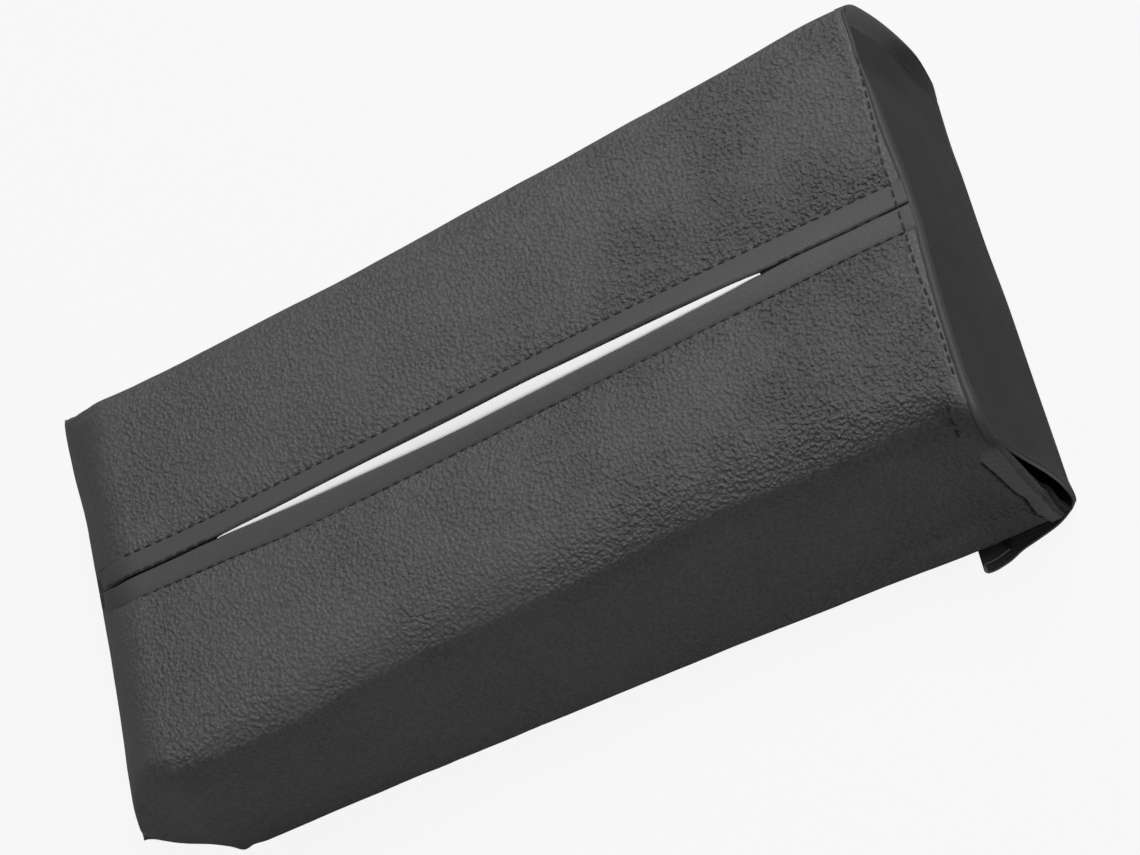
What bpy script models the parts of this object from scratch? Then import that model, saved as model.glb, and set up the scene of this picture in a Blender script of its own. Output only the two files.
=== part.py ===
# Soft tissue case for a car: a sewn leatherette case with a slit along its lid, a loading mouth at
# the right end (+X) under a hinged end flap, and a tuck flap that closes under the base.
# Metres, +Z up, front wall at -Y. The origin is on the floor, under the middle of the case.

import bpy
import bmesh
from math import acos, pi, sin, tan
from mathutils import Vector

# Case
LENGTH = 0.242                # left seam to the outer face of the end flap
BASE_WIDTH = 0.122            # across the base and the left seam
LID_WIDTH = 0.111             # across the lid: the walls lean in
LID_SKEW = 0.0080             # how far the lid's folds stand off to one side, half a length from their turn
SKEW_TURN = -0.022            # where they are centred, along X
MOUTH_LID_WIDTH = 0.119       # across the lid's piped edge, which the hem holds wide
CASE_HEIGHT = 0.051           # base to lid, outside
LEATHER = 0.0012              # leatherette with its backing
CLEARANCE = 0.0003            # between pieces that touch
FRONT_LID_CORNER = 0.0075     # radius of the fold between lid and front wall
BACK_LID_CORNER = 0.005       # radius of the fold between lid and back wall
BASE_CORNER = 0.0025          # radius of the fold between wall and base
EDGE_RETURN = 0.0045          # wall leatherette turned in under the base
SEAM_HEIGHT = 0.0275          # middle of the left seam above the base
SEAM_SLACK = 0.0005           # between the two layers in the left seam
LID_SLOPE = 0.024             # run of the lid down to the left seam
BASE_SLOPE = 0.013            # run of the base up to the left seam
MOUTH_LEAN = 0.0045           # how much further out the mouth is at the floor than at the lid
MOUTH_FLARE = 0.014           # length over which the lid widens to its piped edge

# Slit in the lid
SLIT_LENGTH = 0.160
SLIT_CENTRE = 0.002           # middle of the slit, along X
SLIT_WIDTH = 0.005            # at its middle
SLIT_BAND = 0.0062            # smooth strip on each side

# Thread, piping and hems
THREAD_RADIUS = 0.00025
SEAM_MARGIN = 0.0020          # thread stops this far from the left seam
LID_HEM = 0.0035              # thread row to the lid's mouth edge
PIPING_RADIUS = 0.0013
HEM_STRIP = 0.0009            # thickness of the ribbed hem strip
HEM_LIFT = 0.0004             # hem strip and its thread to the wall
HEM_STRIP_WIDTH = 0.0055

# End flap
FLAP_LINING = 0.0006          # thickness of the inner sheet
FLAP_FOLD_WIDTH = 0.117       # across the fold between end flap and tuck flap
LINING_MARGIN = 0.0025        # lining stops this far inside the flap's edges

# Tuck flap and its touch fastener
TUCK_LENGTH = 0.0235
TUCK_END_WIDTH = 0.133        # across its free end, which stands out at both sides
TUCK_CORNER = 0.004
FASTENER_LENGTH = 0.090
FASTENER_WIDTH = 0.015
FASTENER_MARGIN = 0.004       # free end of the tuck flap to the fastener
HOOK = 0.0010                 # thickness of the hooked half
LOOP = 0.0008                 # thickness of the soft half
STEP_ROOM = 0.0030            # free end of the tuck flap to the step in the base
STEP_LENGTH = 0.0045          # run of that step

# Straps under the base
STRAP = 0.0012                # thickness of the elastic
STRAP_WIDTH = 0.025
STRAP_SPACING = 0.098
STRAP_CENTRE = -0.009         # middle between the straps, along X

# Base board and tissues
BOARD_MARGIN = 0.003          # board to the folds at its ends
HEAD_ROOM = 0.0040            # stack to the lid
SIDE_ROOM = 0.0058            # stack to the lid's folds
MOUTH_ROOM = 0.016            # stack to the mouth
STACK_CORNER = 0.006          # radius of the folded sides of the stack
LEAF = 0.0008                 # thickness of the tissue that stands ready
LEAF_PLAY = 0.0006            # on each side of it, in the stack's parting
LEAF_LENGTH = 0.136
LEAF_HEIGHT = 0.025
LEAF_CORNER = 0.008           # radius of its upper corners
LEAF_ROOM = 0.0033            # its top edge to the under side of the lid

# Shapes: shares of the lengths above
SLOPE_SHARES = (0.0, 0.08, 0.20, 0.36, 0.55, 0.77, 1.0)
FLARE_SHARES = (1.0, 0.75, 0.5, 0.25, 0.0)
SLIT_STEPS = 16
SLIT_POWER = 2.5              # how blunt the ends of the slit are
CORNER_STEPS = 4
CORNER_LIMIT_SHARE = 0.45     # a fold's radius is at most this share of its wall
HEM_STEPS = 4

# Heights
BODY_BOTTOM = max(STRAP, LEATHER) + CLEARANCE
RAISED_BOTTOM = LEATHER + CLEARANCE + HOOK + CLEARANCE + LOOP + CLEARANCE
LID_TOP = BODY_BOTTOM + CASE_HEIGHT
SEAM_Z = BODY_BOTTOM + SEAM_HEIGHT
SEAM_HALF = LEATHER + SEAM_SLACK / 2
STACK_BOTTOM = RAISED_BOTTOM + LEATHER + CLEARANCE
STACK_TOP = LID_TOP - LEATHER - HEAD_ROOM
LEAF_TOP = LID_TOP - LEATHER - LEAF_ROOM
LEAF_BOTTOM = LEAF_TOP - LEAF_HEIGHT

# Places along X
SEAM_X = -LENGTH / 2
FLAP_INNER = CLEARANCE + FLAP_LINING + CLEARANCE      # mouth to the flap's leatherette
MOUTH_FLOOR_X = LENGTH / 2 - FLAP_INNER - LEATHER
MOUTH_X = MOUTH_FLOOR_X - MOUTH_LEAN                  # at the height of the lid


def mouth_x(z):
    """The mouth is a plane that leans out towards the floor."""
    return MOUTH_FLOOR_X - MOUTH_LEAN * z / LID_TOP


HINGE_Z = LID_TOP - PIPING_RADIUS
HINGE_X = mouth_x(HINGE_Z) + FLAP_INNER + LEATHER / 2
FLAP_TOP = HINGE_Z - PIPING_RADIUS - CLEARANCE
FOLD_Z = LEATHER / 2
FOLD_X = mouth_x(FOLD_Z) + FLAP_INNER + LEATHER / 2
TUCK_RIGHT = FOLD_X - LEATHER / 2 - 2 * CLEARANCE
TUCK_LEFT = TUCK_RIGHT - TUCK_LENGTH
STEP_RIGHT = TUCK_LEFT - STEP_ROOM
STEP_LEFT = STEP_RIGHT - STEP_LENGTH


# Materials

def material(name, colour, roughness):
    made = bpy.data.materials.new(name)
    made.use_nodes = True
    shader = made.node_tree.nodes["Principled BSDF"]
    shader.inputs["Base Color"].default_value = (*colour, 1.0)
    shader.inputs["Roughness"].default_value = roughness
    shader.inputs["Metallic"].default_value = 0.0
    made.diffuse_color = (*colour, 1.0)
    return made


def make_materials():
    return {
        "leather": material("black_leatherette", (0.070, 0.070, 0.072), 0.55),
        "smooth": material("smooth_leatherette", (0.050, 0.050, 0.052), 0.50),
        "thread": material("black_thread", (0.012, 0.012, 0.013), 0.80),
        "lining": material("black_lining", (0.025, 0.025, 0.027), 0.85),
        "fastener": material("touch_fastener", (0.015, 0.015, 0.016), 0.90),
        "elastic": material("black_elastic", (0.030, 0.030, 0.032), 0.80),
        "board": material("grey_board", (0.35, 0.33, 0.30), 0.85),
        "tissue": material("white_tissue", (0.90, 0.90, 0.89), 0.95),
    }


# Shared builders

def add_object(name, mesh_or_curve, finish, parent=None):
    made = bpy.data.objects.new(name, mesh_or_curve)
    bpy.context.scene.collection.objects.link(made)
    made.data.materials.append(finish)
    if parent is not None:
        made.parent = parent
        made.matrix_parent_inverse = parent.matrix_world.inverted()
    return made


def mesh_object(name, builder, finish, parent=None):
    mesh = bpy.data.meshes.new(name)
    builder.normal_update()
    builder.to_mesh(mesh)
    builder.free()
    return add_object(name, mesh, finish, parent)


def sheet(name, rows, thickness, finish, flip, outward=False):
    """A solid sheet over a grid of points. Its faces look outwards, and the thickness goes in."""
    builder = bmesh.new()
    grid = [[builder.verts.new(point) for point in row] for row in rows]
    for lower, upper in zip(grid, grid[1:]):
        for i in range(len(lower) - 1):
            corners = (lower[i], upper[i], upper[i + 1], lower[i + 1])
            builder.faces.new(tuple(reversed(corners)) if flip else corners)
    made = mesh_object(name, builder, finish)
    thicken = made.modifiers.new("Thickness", "SOLIDIFY")
    thicken.thickness = thickness
    thicken.offset = 1.0 if outward else -1.0
    thicken.use_even_offset = True
    return made


def prism(name, outline, sweep, finish, parent=None):
    """A flat outline swept straight along a vector."""
    builder = bmesh.new()
    face = builder.faces.new([builder.verts.new(point) for point in outline])
    swept = bmesh.ops.extrude_face_region(builder, geom=[face])
    moved = [part for part in swept["geom"] if isinstance(part, bmesh.types.BMVert)]
    bmesh.ops.translate(builder, vec=sweep, verts=moved)
    bmesh.ops.recalc_face_normals(builder, faces=builder.faces)
    return mesh_object(name, builder, finish, parent)


def block(name, low, high, finish, parent=None):
    outline = [(low[0], low[1], low[2]), (high[0], low[1], low[2]),
               (high[0], high[1], low[2]), (low[0], high[1], low[2])]
    return prism(name, outline, Vector((0.0, 0.0, high[2] - low[2])), finish, parent)


def rod(name, points, radius, finish, sides_level):
    """A round rod or thread along a list of points, with closed ends."""
    curve = bpy.data.curves.new(name, "CURVE")
    curve.dimensions = "3D"
    curve.bevel_depth = radius
    curve.bevel_resolution = sides_level
    curve.use_fill_caps = True
    line = curve.splines.new("POLY")
    line.points.add(len(points) - 1)
    for place, point in zip(line.points, points):
        place.co = (*point, 1.0)
    return add_object(name, curve, finish)


def fillet(before, corner, after, radius, steps):
    """Points of the arc that rounds a corner of a flat outline."""
    corner = Vector(corner)
    to_before = (Vector(before) - corner).normalized()
    to_after = (Vector(after) - corner).normalized()
    half_angle = acos(max(-1.0, min(1.0, to_before.dot(to_after)))) / 2
    reach = radius / tan(half_angle)
    centre = corner + (to_before + to_after).normalized() * (radius / sin(half_angle))
    start = corner + to_before * reach - centre
    finish = corner + to_after * reach - centre
    turn = pi - 2 * half_angle
    arc = []
    for step in range(steps + 1):
        share = step / steps
        blend = (start * sin((1 - share) * turn) + finish * sin(share * turn)) / sin(turn)
        arc.append(centre + blend)
    return arc


def rounded(outline, radii, steps):
    """A flat outline with its corners rounded; a radius of zero keeps the corner."""
    made = []
    count = len(outline)
    for i, (corner, radius) in enumerate(zip(outline, radii)):
        if radius > 0:
            made += fillet(outline[i - 1], corner, outline[(i + 1) % count], radius, steps)
        else:
            made.append(Vector(corner))
    return made


# The form of the case, at a place s along its length, measured at the height of the lid

def ease(share):
    share = max(0.0, min(1.0, share))
    return share * share * (3 - 2 * share)


def lid_z(s):
    share = min(1.0, (s - SEAM_X) / LID_SLOPE)
    return SEAM_Z + SEAM_HALF + (LID_TOP - SEAM_Z - SEAM_HALF) * sin(share * pi / 2)


def base_z(s):
    share = min(1.0, (s - SEAM_X) / BASE_SLOPE)
    return SEAM_Z - SEAM_HALF - (SEAM_Z - SEAM_HALF - BODY_BOTTOM) * sin(share * pi / 2)


def lid_half(s, side):
    """The lid lies a little turned on the base, but its seam and its hem are square to it."""
    lid_share = ease((s - SEAM_X) / LID_SLOPE)
    mouth_share = ease((s - (MOUTH_X - MOUTH_FLARE)) / MOUTH_FLARE)
    half = BASE_WIDTH / 2 - (BASE_WIDTH - LID_WIDTH) / 2 * lid_share
    skew = LID_SKEW * (s - SKEW_TURN) / (LENGTH / 2) * lid_share * (1 - mouth_share)
    return half + side * skew + (MOUTH_LID_WIDTH - LID_WIDTH) / 2 * mouth_share


def lid_corner(side):
    return FRONT_LID_CORNER if side < 0 else BACK_LID_CORNER


def leaning_x(s, z):
    """Places near the mouth follow its lean, and those further in stay upright."""
    share = max(0.0, (s - (MOUTH_X - 2 * MOUTH_FLARE)) / (2 * MOUTH_FLARE))
    return s + (mouth_x(z) - MOUTH_X) * share


def slit_half(s):
    share = abs(s - SLIT_CENTRE) / (SLIT_LENGTH / 2)
    opening = max(0.0, 1 - share ** SLIT_POWER)
    return (CLEARANCE + (SLIT_WIDTH - CLEARANCE) * opening) / 2


def hem_places():
    """Places along the hem strips, from the wall to the mouth."""
    width = HEM_STRIP_WIDTH / HEM_STEPS
    return [MOUTH_X - CLEARANCE - width * step for step in range(HEM_STEPS, -1, -1)]


def stations(extra=()):
    """Places along the case where its sections are drawn, none of them closer than the leatherette."""
    places = hem_places()
    places += [SEAM_X + share * LID_SLOPE for share in SLOPE_SHARES]
    places += [SEAM_X + share * BASE_SLOPE for share in SLOPE_SHARES]
    places += [SLIT_CENTRE + (step / SLIT_STEPS - 0.5) * SLIT_LENGTH for step in range(SLIT_STEPS + 1)]
    places += [MOUTH_X - share * MOUTH_FLARE for share in FLARE_SHARES]
    places += list(extra)
    kept = [SEAM_X]
    for place in sorted(places):
        if place - kept[-1] >= LEATHER and MOUTH_X - place >= LEATHER:
            kept.append(place)
    kept.append(MOUTH_X)
    return kept


def wall_section(s, side):
    """Outer outline of one side, from the slit band over the lid and down the wall to its turned edge."""
    top, bottom = lid_z(s), base_z(s)
    inner = slit_half(s) + SLIT_BAND + CLEARANCE
    outer = BASE_WIDTH / 2
    limit = (top - bottom) * CORNER_LIMIT_SHARE
    corners = [(inner, top), (lid_half(s, side), top), (outer, bottom), (outer - EDGE_RETURN, bottom)]
    outline = [Vector(corners[0])]
    outline += fillet(corners[0], corners[1], corners[2], min(lid_corner(side), limit), CORNER_STEPS)
    outline += fillet(corners[1], corners[2], corners[3], min(BASE_CORNER, limit), CORNER_STEPS)
    outline.append(Vector(corners[3]))
    return [(leaning_x(s, z), side * y, z) for y, z in outline]


def lid_point(s, y, lift):
    """A point over the lid, lifted square to it."""
    slope = (lid_z(s + CLEARANCE) - lid_z(s)) / CLEARANCE
    normal = Vector((-slope, 1.0)).normalized()
    return (s + normal.x * lift, y, lid_z(s) + normal.y * lift)


# Case

def make_wall_panel(name, side, finish):
    rows = [wall_section(s, side) for s in stations()]
    return sheet(name, rows, LEATHER, finish, flip=side < 0)


def make_slit_band(name, side, finish):
    rows = []
    for s in stations():
        inner = slit_half(s)
        rows.append([(leaning_x(s, lid_z(s)), side * y, lid_z(s)) for y in (inner, inner + SLIT_BAND)])
    return sheet(name, rows, LEATHER, finish, flip=side < 0)


def make_base_panel(finish):
    half = BASE_WIDTH / 2 - EDGE_RETURN - CLEARANCE
    rows = []
    for s in stations(extra=(STEP_LEFT, STEP_RIGHT)):
        share = min(1.0, max(0.0, (s - STEP_LEFT) / STEP_LENGTH))
        z = base_z(s) + (RAISED_BOTTOM - BODY_BOTTOM) * share
        rows.append([(leaning_x(s, z), -half, z), (leaning_x(s, z), half, z)])
    return sheet("base_panel", rows, LEATHER, finish, flip=True)


def make_base_board(finish):
    low_x = SEAM_X + BASE_SLOPE + BOARD_MARGIN
    high_x = STEP_LEFT - BOARD_MARGIN
    half = BASE_WIDTH / 2 - LEATHER - BASE_CORNER
    low = (low_x, -half, BODY_BOTTOM + LEATHER + CLEARANCE)
    high = (high_x, half, RAISED_BOTTOM + LEATHER)
    return block("base_board", low, high, finish)


def wall_point(s, side, drop, lift):
    """A point over the wall, lifted square to it; drop runs from its upper fold to its lower one."""
    def on_wall(place, share):
        section = wall_section(place, side)
        upper, lower = Vector(section[1 + CORNER_STEPS]), Vector(section[2 + CORNER_STEPS])
        return upper.lerp(lower, share)
    along = on_wall(s, drop) - on_wall(s - HEM_STRIP_WIDTH, drop)
    down = on_wall(s, 1.0) - on_wall(s, 0.0)
    return on_wall(s, drop) + along.cross(down).normalized() * (side * lift)


def make_hem_strip(name, side, finish):
    """The ribbed strip lies on the wall along the mouth, between its two folds."""
    drops = [step / HEM_STEPS for step in range(HEM_STEPS + 1)]
    rows = [[wall_point(s, side, drop, HEM_LIFT) for drop in drops] for s in hem_places()]
    return sheet(name, rows, HEM_STRIP, finish, flip=side < 0, outward=True)


def make_lid_piping(finish):
    ends = [(HINGE_X, side * (lid_half(MOUTH_X, side) - lid_corner(side) / 2), HINGE_Z) for side in (-1, 1)]
    return rod("lid_piping", ends, PIPING_RADIUS, finish, 2)


# Thread

def make_slit_stitch(name, side, finish):
    lift = CLEARANCE + THREAD_RADIUS
    end = MOUTH_X - LID_HEM - CLEARANCE - 2 * THREAD_RADIUS
    places = [SEAM_X + SEAM_MARGIN]
    places += [s for s in stations() if SEAM_X + SEAM_MARGIN + LEATHER < s < end - LEATHER]
    places.append(end)
    row = [lid_point(s, side * (slit_half(s) + SLIT_BAND + CLEARANCE / 2), lift) for s in places]
    return rod(name, row, THREAD_RADIUS, finish, 0)


def make_seam_stitch(name, start, end, finish):
    lift = CLEARANCE + THREAD_RADIUS
    places = [start]
    places += [s for s in stations() if start + LEATHER < s < end - LEATHER]
    places.append(end)
    return rod(name, [lid_point(s, 0.0, lift) for s in places], THREAD_RADIUS, finish, 0)


def make_lid_hem_stitch(finish):
    s = MOUTH_X - LID_HEM
    lift = CLEARANCE + THREAD_RADIUS
    row = [lid_point(s, side * (lid_half(s, side) - lid_corner(side)), lift) for side in (-1, 1)]
    return rod("lid_hem_stitch", row, THREAD_RADIUS, finish, 0)


def make_wall_hem_stitch(name, side, finish):
    """Thread down the wall, beside the hem strip."""
    s = hem_places()[0] - CLEARANCE - 2 * THREAD_RADIUS
    row = [wall_point(s, side, drop, HEM_LIFT + THREAD_RADIUS) for drop in (0.0, 1.0)]
    return rod(name, row, THREAD_RADIUS, finish, 0)


# Straps

def make_strap(name, centre, finish):
    top = BODY_BOTTOM - CLEARANCE
    half = BASE_WIDTH / 2 - EDGE_RETURN / 2
    low = (centre - STRAP_WIDTH / 2, -half, top - STRAP)
    high = (centre + STRAP_WIDTH / 2, half, top)
    return block(name, low, high, finish)


# Tissues

def make_tissue_stack(finish):
    """The lower tissues lie flat. The upper ones part along the middle, where the next tissue stands."""
    left = SEAM_X + LID_SLOPE + CLEARANCE
    sweep = Vector((MOUTH_X - MOUTH_ROOM - left, 0.0, 0.0))
    half = LID_WIDTH / 2 - LEATHER - SIDE_ROOM
    inner = LEAF / 2 + LEAF_PLAY
    top = LEAF_BOTTOM - CLEARANCE
    corners = [(-half, STACK_BOTTOM), (half, STACK_BOTTOM), (half, top), (-half, top)]
    outline = rounded(corners, [STACK_CORNER, STACK_CORNER, 0.0, 0.0], CORNER_STEPS)
    prism("tissue_stack", [(left, y, z) for y, z in outline], sweep, finish)
    for label, side in (("front", -1), ("back", 1)):
        corners = [(inner, LEAF_BOTTOM), (half, LEAF_BOTTOM), (half, STACK_TOP), (inner, STACK_TOP)]
        outline = rounded(corners, [0.0, 0.0, STACK_CORNER, 0.0], CORNER_STEPS)
        prism("upper_tissues_" + label, [(left, side * y, z) for y, z in outline], sweep, finish)


def make_top_tissue(finish):
    guide = bpy.data.objects.new("tissue_pull", None)
    guide.location = (SLIT_CENTRE, 0.0, LEAF_BOTTOM)
    bpy.context.scene.collection.objects.link(guide)
    bpy.context.view_layer.update()
    left, right = SLIT_CENTRE - LEAF_LENGTH / 2, SLIT_CENTRE + LEAF_LENGTH / 2
    corners = [(left, LEAF_BOTTOM), (right, LEAF_BOTTOM), (right, LEAF_TOP), (left, LEAF_TOP)]
    outline = rounded(corners, [0.0, 0.0, LEAF_CORNER, LEAF_CORNER], CORNER_STEPS)
    points = [(x, -LEAF / 2, z) for x, z in outline]
    return prism("top_tissue", points, Vector((0.0, LEAF, 0.0)), finish, guide)


# Flaps

def flap_plate(name, offset, thickness, top, bottom, halves, finish, hinge):
    """A plate that lies along the leaning mouth."""
    upper_half, lower_half = halves
    outline = [(mouth_x(top) + offset, -upper_half, top), (mouth_x(top) + offset, upper_half, top),
               (mouth_x(bottom) + offset, lower_half, bottom), (mouth_x(bottom) + offset, -lower_half, bottom)]
    return prism(name, outline, Vector((thickness, 0.0, 0.0)), finish, hinge)


def make_end_flap(finishes):
    hinge = bpy.data.objects.new("end_flap_hinge", None)
    hinge.location = (HINGE_X, 0.0, HINGE_Z)
    bpy.context.scene.collection.objects.link(hinge)
    bpy.context.view_layer.update()
    upper = MOUTH_LID_WIDTH / 2 - BACK_LID_CORNER / 2
    lower = FLAP_FOLD_WIDTH / 2
    flap_plate("end_flap_panel", FLAP_INNER, LEATHER, FLAP_TOP, 0.0, (upper, lower), finishes["smooth"], hinge)
    top = FLAP_TOP - LINING_MARGIN
    bottom = RAISED_BOTTOM + LINING_MARGIN
    halves = (upper - LINING_MARGIN, lower - LINING_MARGIN)
    flap_plate("end_flap_lining", CLEARANCE, FLAP_LINING, top, bottom, halves, finishes["lining"], hinge)
    return hinge


def make_tuck_flap(finishes, end_flap_hinge):
    fold = bpy.data.objects.new("tuck_flap_fold", None)
    fold.location = (FOLD_X, 0.0, FOLD_Z)
    bpy.context.scene.collection.objects.link(fold)
    fold.parent = end_flap_hinge
    fold.matrix_parent_inverse = end_flap_hinge.matrix_world.inverted()
    bpy.context.view_layer.update()
    root_half, end_half = FLAP_FOLD_WIDTH / 2, TUCK_END_WIDTH / 2
    corners = [(TUCK_RIGHT, -root_half), (TUCK_RIGHT, root_half), (TUCK_LEFT, end_half), (TUCK_LEFT, -end_half)]
    outline = rounded(corners, [0.0, 0.0, TUCK_CORNER, TUCK_CORNER], CORNER_STEPS)
    points = [(x, y, 0.0) for x, y in outline]
    prism("tuck_flap_panel", points, Vector((0.0, 0.0, LEATHER)), finishes["smooth"], fold)
    low = (TUCK_LEFT + FASTENER_MARGIN, -FASTENER_LENGTH / 2, LEATHER + CLEARANCE)
    high = (low[0] + FASTENER_WIDTH, FASTENER_LENGTH / 2, low[2] + HOOK)
    block("hook_strip", low, high, finishes["fastener"], fold)
    loop_high = RAISED_BOTTOM - CLEARANCE
    block("loop_strip", (low[0], low[1], loop_high - LOOP), (high[0], high[1], loop_high), finishes["fastener"])


def main():
    for old in list(bpy.data.objects):
        bpy.data.objects.remove(old, do_unlink=True)
    finishes = make_materials()
    leather, smooth, thread = finishes["leather"], finishes["smooth"], finishes["thread"]
    for label, side in (("front", -1), ("back", 1)):
        make_wall_panel(label + "_panel", side, leather)
        make_slit_band("slit_band_" + label, side, smooth)
        make_hem_strip(label + "_hem_strip", side, smooth)
        make_slit_stitch("slit_stitch_" + label, side, thread)
        make_wall_hem_stitch(label + "_hem_stitch", side, thread)
    make_base_panel(leather)
    make_base_board(finishes["board"])
    make_lid_piping(smooth)
    slit_left, slit_right = SLIT_CENTRE - SLIT_LENGTH / 2, SLIT_CENTRE + SLIT_LENGTH / 2
    hem_end = MOUTH_X - LID_HEM - CLEARANCE - 2 * THREAD_RADIUS
    make_seam_stitch("seam_stitch_left", SEAM_X + SEAM_MARGIN, slit_left, thread)
    make_seam_stitch("seam_stitch_right", slit_right, hem_end, thread)
    make_lid_hem_stitch(thread)
    make_strap("left_strap", STRAP_CENTRE - STRAP_SPACING / 2, finishes["elastic"])
    make_strap("right_strap", STRAP_CENTRE + STRAP_SPACING / 2, finishes["elastic"])
    make_tissue_stack(finishes["tissue"])
    make_top_tissue(finishes["tissue"])
    make_tuck_flap(finishes, make_end_flap(finishes))


main()
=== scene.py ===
# %% [markdown]
# # A tissue holder for the car, sewn from black leatherette
# The solid model gives every piece its size and place. This lesson dresses it: each stiff solid is
# replaced by a soft sheet, a hem, a row of stitches or a folded tissue that lies where the solid was.
# A sewn case with a soft pack in it is nowhere quite straight, and its lid lies a little turned.

from math import pi, radians

import bpy
import numpy as np
from mathutils import Matrix, Vector


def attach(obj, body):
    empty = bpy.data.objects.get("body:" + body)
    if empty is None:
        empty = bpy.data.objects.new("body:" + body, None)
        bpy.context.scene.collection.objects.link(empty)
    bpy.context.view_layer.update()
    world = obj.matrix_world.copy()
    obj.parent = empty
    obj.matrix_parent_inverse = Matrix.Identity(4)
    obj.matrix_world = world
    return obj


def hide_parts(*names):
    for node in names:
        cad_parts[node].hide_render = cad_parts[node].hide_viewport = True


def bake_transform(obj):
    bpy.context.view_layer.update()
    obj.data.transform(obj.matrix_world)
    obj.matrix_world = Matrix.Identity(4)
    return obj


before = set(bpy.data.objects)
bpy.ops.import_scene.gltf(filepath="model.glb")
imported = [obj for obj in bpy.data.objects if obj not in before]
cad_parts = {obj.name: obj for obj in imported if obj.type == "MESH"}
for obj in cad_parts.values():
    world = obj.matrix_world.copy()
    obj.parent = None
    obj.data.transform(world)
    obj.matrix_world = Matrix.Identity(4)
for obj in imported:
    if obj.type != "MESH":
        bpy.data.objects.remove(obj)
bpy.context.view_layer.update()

# %% [markdown]
# The camera comes first, so that each piece can be looked at as it is made. It stands high over the
# right front corner with a long lens. Its place was worked out from the case's own straight edges.

# %% Camera
bpy.ops.object.camera_add()
camera = bpy.context.object
camera.name = "Camera"
camera_right = Vector((0.88498, -0.21559, -0.41271))
camera_up = Vector((0.37539, 0.85475, 0.35845))
camera_back = Vector((0.27549, -0.47215, 0.83737))
turned = Matrix((camera_right, camera_up, camera_back)).transposed().to_4x4()
camera.matrix_world = Matrix.Translation((0.24894, -0.40666, 0.74654)) @ turned
camera.data.sensor_width = 36.0
camera.data.lens = 110.53
camera.data.clip_start = 0.01
bpy.context.scene.camera = camera
print("camera at", [round(v, 3) for v in camera.location])

# %% [markdown]
# A material is a small network of nodes. One helper adds a node, with its settings and its inputs, and
# links an input wherever it is given another node's output, so that a network reads from top to bottom.

# %% Helpers for materials
def fill_inputs(tree, node, inputs):
    """Gives each input its value, or a link if the value is another node's output."""
    for name, value in inputs.items():
        if isinstance(value, bpy.types.NodeSocket):
            tree.links.new(value, node.inputs[name])
        else:
            node.inputs[name].default_value = value


def add_node(tree, kind, inputs=None, **settings):
    made = tree.nodes.new("ShaderNode" + kind)
    for name, value in settings.items():
        setattr(made, name, value)
    fill_inputs(tree, made, inputs or {})
    return made


def maths(tree, operation, *values, **settings):
    made = add_node(tree, "Math", dict(enumerate(values)), operation=operation, **settings)
    return made.outputs[0]


def noise(tree, spot, scale, detail=2.0, output="Fac"):
    return add_node(tree, "TexNoise", {"Vector": spot, "Scale": scale, "Detail": detail}).outputs[output]


def node_material(name):
    made = bpy.data.materials.new(name)
    made.use_nodes = True
    return made, made.node_tree, made.node_tree.nodes["Principled BSDF"]


def mix_for_camera(tree, lit, shown, share, output):
    """Mixes in what the camera is shown, by the given share, over what lights the scene."""
    seen = add_node(tree, "LightPath").outputs["Is Camera Ray"]
    part = maths(tree, "MULTIPLY", seen, share)
    both = add_node(tree, "MixShader", {0: part, 1: lit.outputs[0], 2: shown.outputs[0]})
    tree.links.new(both.outputs[0], tree.nodes[output].inputs["Surface"])


print("helpers ready")

# %% [markdown]
# The floor is a plain pale sheet. One big soft lamp stands over the case, behind it and to the right, and
# a faint one in front fills the walls, in a dim room. What the camera sees of the floor is mostly a plain
# white, and the rest is lit, which keeps a soft shadow.

# %% Floor, lamps and room
WHITE = (1.0, 1.0, 1.0, 1.0)


bpy.ops.mesh.primitive_plane_add(size=8.0, location=(0.0, 0.0, -0.0002))
floor = bpy.context.object
floor.name = "floor"
pale, tree, shader = node_material("pale_floor")
fill_inputs(tree, shader, {"Base Color": (0.38, 0.38, 0.38, 1.0), "Roughness": 0.9})
mix_for_camera(tree, shader, add_node(tree, "Emission"), 0.90, "Material Output")
floor.data.materials.append(pale)


def add_lamp(name, place, aim, size, watts):
    bpy.ops.object.light_add(type="AREA", location=place)
    lamp = bpy.context.object
    lamp.name = name
    lamp.data.shape = "DISK"
    lamp.data.size = size
    lamp.data.energy = watts
    lamp.rotation_euler = (Vector(aim) - Vector(place)).to_track_quat("-Z", "Y").to_euler()


add_lamp("Lamp over the case", (0.42, 0.36, 0.95), (0.03, 0.0, 0.04), 0.55, 10.6)
add_lamp("Faint lamp in front", (-0.38, -0.90, 0.28), (-0.02, -0.06, 0.03), 0.50, 1.4)
world = bpy.data.worlds.new("Room")
bpy.context.scene.world = world
world.use_nodes = True
tree = world.node_tree
dim = tree.nodes["Background"]
fill_inputs(tree, dim, {"Color": WHITE, "Strength": 0.13})
mix_for_camera(tree, dim, add_node(tree, "Background", {"Color": WHITE}), 1.0, "World Output")
bpy.context.scene.view_settings.view_transform = "Standard"
print("stage:", floor.name)

# %% [markdown]
# ## The form of the filled case
# A few places along the case, in millimetres, give its height, its folds and its middle line. A smooth
# line through them is better than straight runs between them, because leatherette has no corners there.
# The line never swings past its own places, so a flat stretch stays flat.

# %% A smooth line through chosen places
MM = 0.001


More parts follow.
